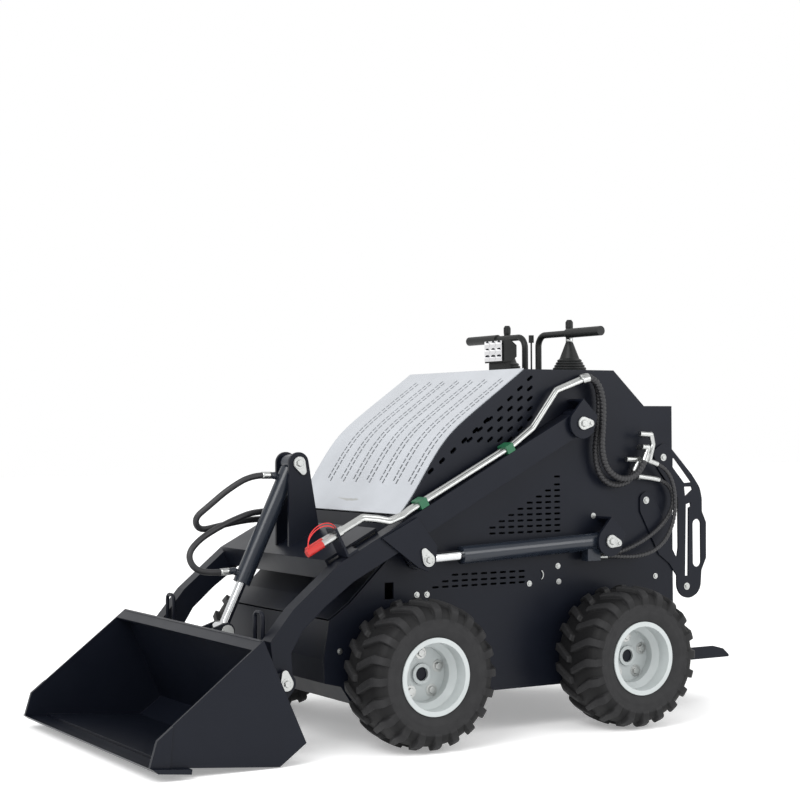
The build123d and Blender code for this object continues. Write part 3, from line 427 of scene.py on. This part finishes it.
HEAD_HEIGHT = 0.62  # one unit of height, by the head's radius
FLAT = 0.93  # from the head's middle to a flat, by its radius
HEAD_SIDES = 24
corner = np.linspace(0, 2 * np.pi, HEAD_SIDES, endpoint=False)
hexagon = FLAT / np.cos((corner + math.pi / 6) % (math.pi / 3) - math.pi / 6)
bolt_rings = []
for ring_radius, lift, six_sided in HEAD:
    shape = ring_radius * (hexagon if six_sided else np.ones(HEAD_SIDES))
    ring_points = [shape * np.cos(corner), np.full(HEAD_SIDES, lift), shape * np.sin(corner)]
    bolt_rings.append(np.stack(ring_points, axis=-1))
i, j = np.meshgrid(np.arange(len(HEAD) - 1) * HEAD_SIDES, np.arange(HEAD_SIDES), indexing="ij")
k = (j + 1) % HEAD_SIDES
bolt_quads = np.stack([i + j, i + k, i + HEAD_SIDES + k, i + HEAD_SIDES + j], axis=-1).reshape(-1, 4)
for body in sorted({row[0] for row in FASTENERS}):
    vertices, faces = [], []
    for n, (_, x, y0, z, s, radius) in enumerate([row for row in FASTENERS if row[0] == body]):
        bolt = np.array(bolt_rings) * (radius, s * radius * HEAD_HEIGHT, radius) + (x - MIDDLE_X, y0, z)
        vertices.append(bolt.reshape(-1, 3) / 1000)
        faces.append((bolt_quads if s < 0 else bolt_quads[:, ::-1]) + n * len(HEAD) * HEAD_SIDES)
    mesh = bpy.data.meshes.new("bolts_" + body)
    mesh.from_pydata(np.vstack(vertices), [], np.vstack(faces).tolist())
    mesh.materials.append(bpy.data.materials["zinc"])
    piece = bpy.data.objects.new("bolts_" + body, mesh)
    scene.collection.objects.link(piece)
    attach(piece, body)

# Small round parts swept along lines: crimped zinc sleeves at the hose ends, silver collars under the
# joystick knobs, the red cords that hold the couplers' caps, and the bent wire handle on the side plate.
PIPES = [(392, 0), (416, 15)]  # y of each pipe, and how far it is set forward along the arm
ARM_SLOPE = math.radians(27.24)  # down to the front
COUPLER_START = (604, 669)  # x, z
LOOP_MIDDLE, LOOP_HALF = 70, 52  # of a red cord, along the arm from the coupler's start
LOOP_FOOT, LOOP_RISE, LOOP_BOW = 11, 40, 9  # its ends above the pipe, its rise, and its bow to the left
LOOP_POINTS = 40
COLLARS = [(-398, 189), (-398, -189)]  # x, y
COLLAR_Z = (1264, 1272, 1283)
HANDLE = (-143, 494)  # x, z
HANDLE_OUT = 3  # from the side plate
HANDLE_DEPTH, HANDLE_RISE, HANDLE_TURN = 12, 15, 1.2  # of its half moon, the last in radians from the middle
HANDLE_POINTS = 16
CORD_RADIUS, COLLAR_RADIUS, WIRE_RADIUS = 0.0017, 0.0125, 0.0022  # metres
ROUND_SIDES = 16
ahead = np.array([math.cos(ARM_SLOPE), 0, -math.sin(ARM_SLOPE)])
above = np.array([math.sin(ARM_SLOPE), 0, math.cos(ARM_SLOPE)])
swept = [("zinc", *row) for row in sleeves]  # material, body, path, radius
bow = np.linspace(0, np.pi, LOOP_POINTS)[:, None]
for y0, moved in PIPES:
    start = np.array([COUPLER_START[0] - MIDDLE_X, y0, COUPLER_START[1]]) + ahead * moved
    loop = start + ahead * (LOOP_MIDDLE + LOOP_HALF * np.cos(bow))
    loop = loop + above * (LOOP_FOOT + LOOP_RISE * np.sin(bow)) + (0, LOOP_BOW, 0) * np.sin(bow)
    swept.append(("cap_red", "arms", loop / 1000, CORD_RADIUS))
for x, y0 in COLLARS:
    collar = np.array([(x - MIDDLE_X, y0, z) for z in COLLAR_Z])
    swept.append(("zinc", "chassis", collar / 1000, COLLAR_RADIUS))
arc = np.linspace(-HANDLE_TURN, HANDLE_TURN, HANDLE_POINTS)[:, None]
wire = np.array([HANDLE[0] - MIDDLE_X, SIDE_PLATE_Y + HANDLE_OUT, HANDLE[1]])
wire = wire - (HANDLE_DEPTH, 0, 0) * np.cos(arc) + (0, 0, HANDLE_RISE) * np.sin(arc)
swept.append(("zinc", "chassis", wire / 1000, WIRE_RADIUS))
around = np.linspace(0, 2 * np.pi, ROUND_SIDES, endpoint=False)
for material, body in sorted({row[:2] for row in swept}):
    vertices, faces, used = [], [], 0
    for _, _, path, radius in [row for row in swept if row[:2] == (material, body)]:
        tangent = np.gradient(path, axis=0)
        tangent /= np.linalg.norm(tangent, axis=1)[:, None]
        crosswise = (0, 1, 0) if abs(tangent[0, 1]) < 0.9 else (0, 0, 1)  # never along the path
        side = np.cross(tangent, crosswise)
        side /= np.linalg.norm(side, axis=1)[:, None]
        out = np.cross(side, tangent)
        ring = np.cos(around)[None, :, None] * side[:, None] + np.sin(around)[None, :, None] * out[:, None]
        # closed at both ends: one more ring there is shrunk to its middle
        shrunk = np.zeros((1, ROUND_SIDES, 3))
        tube = path[:, None] + radius * ring
        rings = np.concatenate([path[:1, None] + shrunk, tube, path[-1:, None] + shrunk])
        i, j = np.meshgrid(np.arange(len(rings) - 1) * ROUND_SIDES, np.arange(ROUND_SIDES), indexing="ij")
        k = (j + 1) % ROUND_SIDES
        quads = np.stack([i + j, i + k, i + ROUND_SIDES + k, i + ROUND_SIDES + j], axis=-1)
        vertices.append(rings.reshape(-1, 3))
        faces.append(quads.reshape(-1, 4) + used)
        used += rings.shape[0] * ROUND_SIDES
    mesh = bpy.data.meshes.new(f"{material}_swept_{body}")
    mesh.from_pydata(np.vstack(vertices), [], np.vstack(faces).tolist())
    mesh.shade_smooth()
    mesh.materials.append(bpy.data.materials[material])
    piece = bpy.data.objects.new(mesh.name, mesh)
    scene.collection.objects.link(piece)
    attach(piece, body)

# Work lamp: nine bright reflector bowls, three by three, pressed from one sheet that covers the front of the
# housing.
LAMP_FACE_X, LAMP_Z = -216, 1239
LAMP_HALF_Y, LAMP_HALF_Z = 54, 35  # of the sheet
CELL_Y, CELL_Z = 36.001, 23.334  # a hair over a third of the sheet, so that its far edge is in the last bowl
CELL_HALF_Y, CELL_HALF_Z = 18, 11.667
BOWL_BOTTOM, BOWL_RISE = 0.6, 5.0  # out from the housing's face, and from there to the rim
GRID_Y, GRID_Z = 73, 61
sheet_y = np.linspace(-LAMP_HALF_Y, LAMP_HALF_Y, GRID_Y)
sheet_z = np.linspace(-LAMP_HALF_Z, LAMP_HALF_Z, GRID_Z)
across_lamp, up_lamp = np.meshgrid(sheet_y, sheet_z, indexing="ij")
in_cell_y = (across_lamp + LAMP_HALF_Y) % CELL_Y / CELL_HALF_Y - 1
in_cell_z = (up_lamp + LAMP_HALF_Z) % CELL_Z / CELL_HALF_Z - 1
bowl = BOWL_BOTTOM + BOWL_RISE * np.clip(in_cell_y**2 + in_cell_z**2, 0, 1)
lamp_points = np.stack([LAMP_FACE_X - MIDDLE_X + bowl, across_lamp, LAMP_Z + up_lamp], axis=-1) / 1000
i, j = np.meshgrid(np.arange(GRID_Y - 1) * GRID_Z, np.arange(GRID_Z - 1), indexing="ij")
lamp_quads = np.stack([i + j, i + GRID_Z + j, i + GRID_Z + j + 1, i + j + 1], axis=-1).reshape(-1, 4)
mesh = bpy.data.meshes.new("lamp_reflectors")
mesh.from_pydata(lamp_points.reshape(-1, 3), [], lamp_quads.tolist())
mesh.shade_smooth()
mesh.materials.append(bpy.data.materials["rod_chrome"])
piece = bpy.data.objects.new("lamp_reflectors", mesh)
scene.collection.objects.link(piece)
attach(piece, "chassis")

# Blank plate on the foot of the hood: thin bright sheet that follows the hood's slant there, left without any
# marking. It is a flat box of eight corners, the back four first.
HOOD_FOOT = (381, 704)  # x, z
HOOD_SLANT = (-0.6156, 0.7883)  # up along the hood's foot
PLATE_LOW, PLATE_HIGH = 25, 68  # up the hood from its foot
PLATE_RIGHT, PLATE_LEFT = -125, 45  # y
PLATE_BACK, PLATE_FRONT = 0.8, 2.4  # out from the hood
foot_point = np.array([HOOD_FOOT[0] - MIDDLE_X, 0, HOOD_FOOT[1]])
slant = np.array([HOOD_SLANT[0], 0, HOOD_SLANT[1]])
outward = np.array([HOOD_SLANT[1], 0, -HOOD_SLANT[0]])
outline = [
    (PLATE_LOW, PLATE_RIGHT),
    (PLATE_HIGH, PLATE_RIGHT),
    (PLATE_HIGH, PLATE_LEFT),
    (PLATE_LOW, PLATE_LEFT),
]
corners = [
    foot_point + slant * up + outward * lift + (0, y0, 0)
    for lift in (PLATE_BACK, PLATE_FRONT)
    for up, y0 in outline
]
plate_faces = [(0, 1, 2, 3), (7, 6, 5, 4), (0, 4, 5, 1), (1, 5, 6, 2), (2, 6, 7, 3), (3, 7, 4, 0)]
mesh = bpy.data.meshes.new("hood_plate")
mesh.from_pydata(np.array(corners) / 1000, [], plate_faces)
mesh.materials.append(bpy.data.materials["zinc"])
piece = bpy.data.objects.new("hood_plate", mesh)
scene.collection.objects.link(piece)
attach(piece, "chassis")

# Floor: plain and pale, and far larger than the picture shows. It glows a little, so that it runs into the
# white behind.
FLOOR_SIZE = 60  # metres
bpy.ops.mesh.primitive_plane_add(size=FLOOR_SIZE)
floor = bpy.context.object
floor.name = "floor"
pale = bpy.data.materials.new("floor")
pale.use_nodes = True
shader = pale.node_tree.nodes["Principled BSDF"]
shader.inputs["Base Color"].default_value = (0.9, 0.9, 0.9, 1)
shader.inputs["Emission Color"].default_value = (1, 1, 1, 1)
shader.inputs["Emission Strength"].default_value = 0.3
shader.inputs["Roughness"].default_value = 0.9
floor.data.materials.append(pale)

# Light: an even white studio, with a large soft box above and to the camera's left and a weaker one to its
# right, both aimed at the middle of the machine.
LIGHTS = [
    # name, place, aim and width in metres, watts
    ("key", (4.5, 3.0, 5.0), (0, 0, 0.6), 3.5, 260),
    ("side", (-3.5, 5.5, 3.0), (0, 0, 0.6), 3.0, 120),
]
world = bpy.data.worlds.new("world")
scene.world = world
world.use_nodes = True
world.node_tree.nodes["Background"].inputs["Color"].default_value = (1, 1, 1, 1)
world.node_tree.nodes["Background"].inputs["Strength"].default_value = 1.0
for name, where, aim, width, power in LIGHTS:
    light_data = bpy.data.lights.new(name, "AREA")
    light_data.size = width
    light_data.energy = power
    light = bpy.data.objects.new(name, light_data)
    scene.collection.objects.link(light)
    back = np.array(where, float) - np.array(aim, float)
    back /= np.linalg.norm(back)
    across_light = np.cross((0, 0, 1), back)
    across_light /= np.linalg.norm(across_light)
    turn_light = np.eye(4)
    turn_light[:3, 0], turn_light[:3, 1], turn_light[:3, 2] = across_light, np.cross(back, across_light), back
    turn_light[:3, 3] = where
    light.matrix_world = Matrix(turn_light.tolist())
scene.view_settings.view_transform = "Standard"
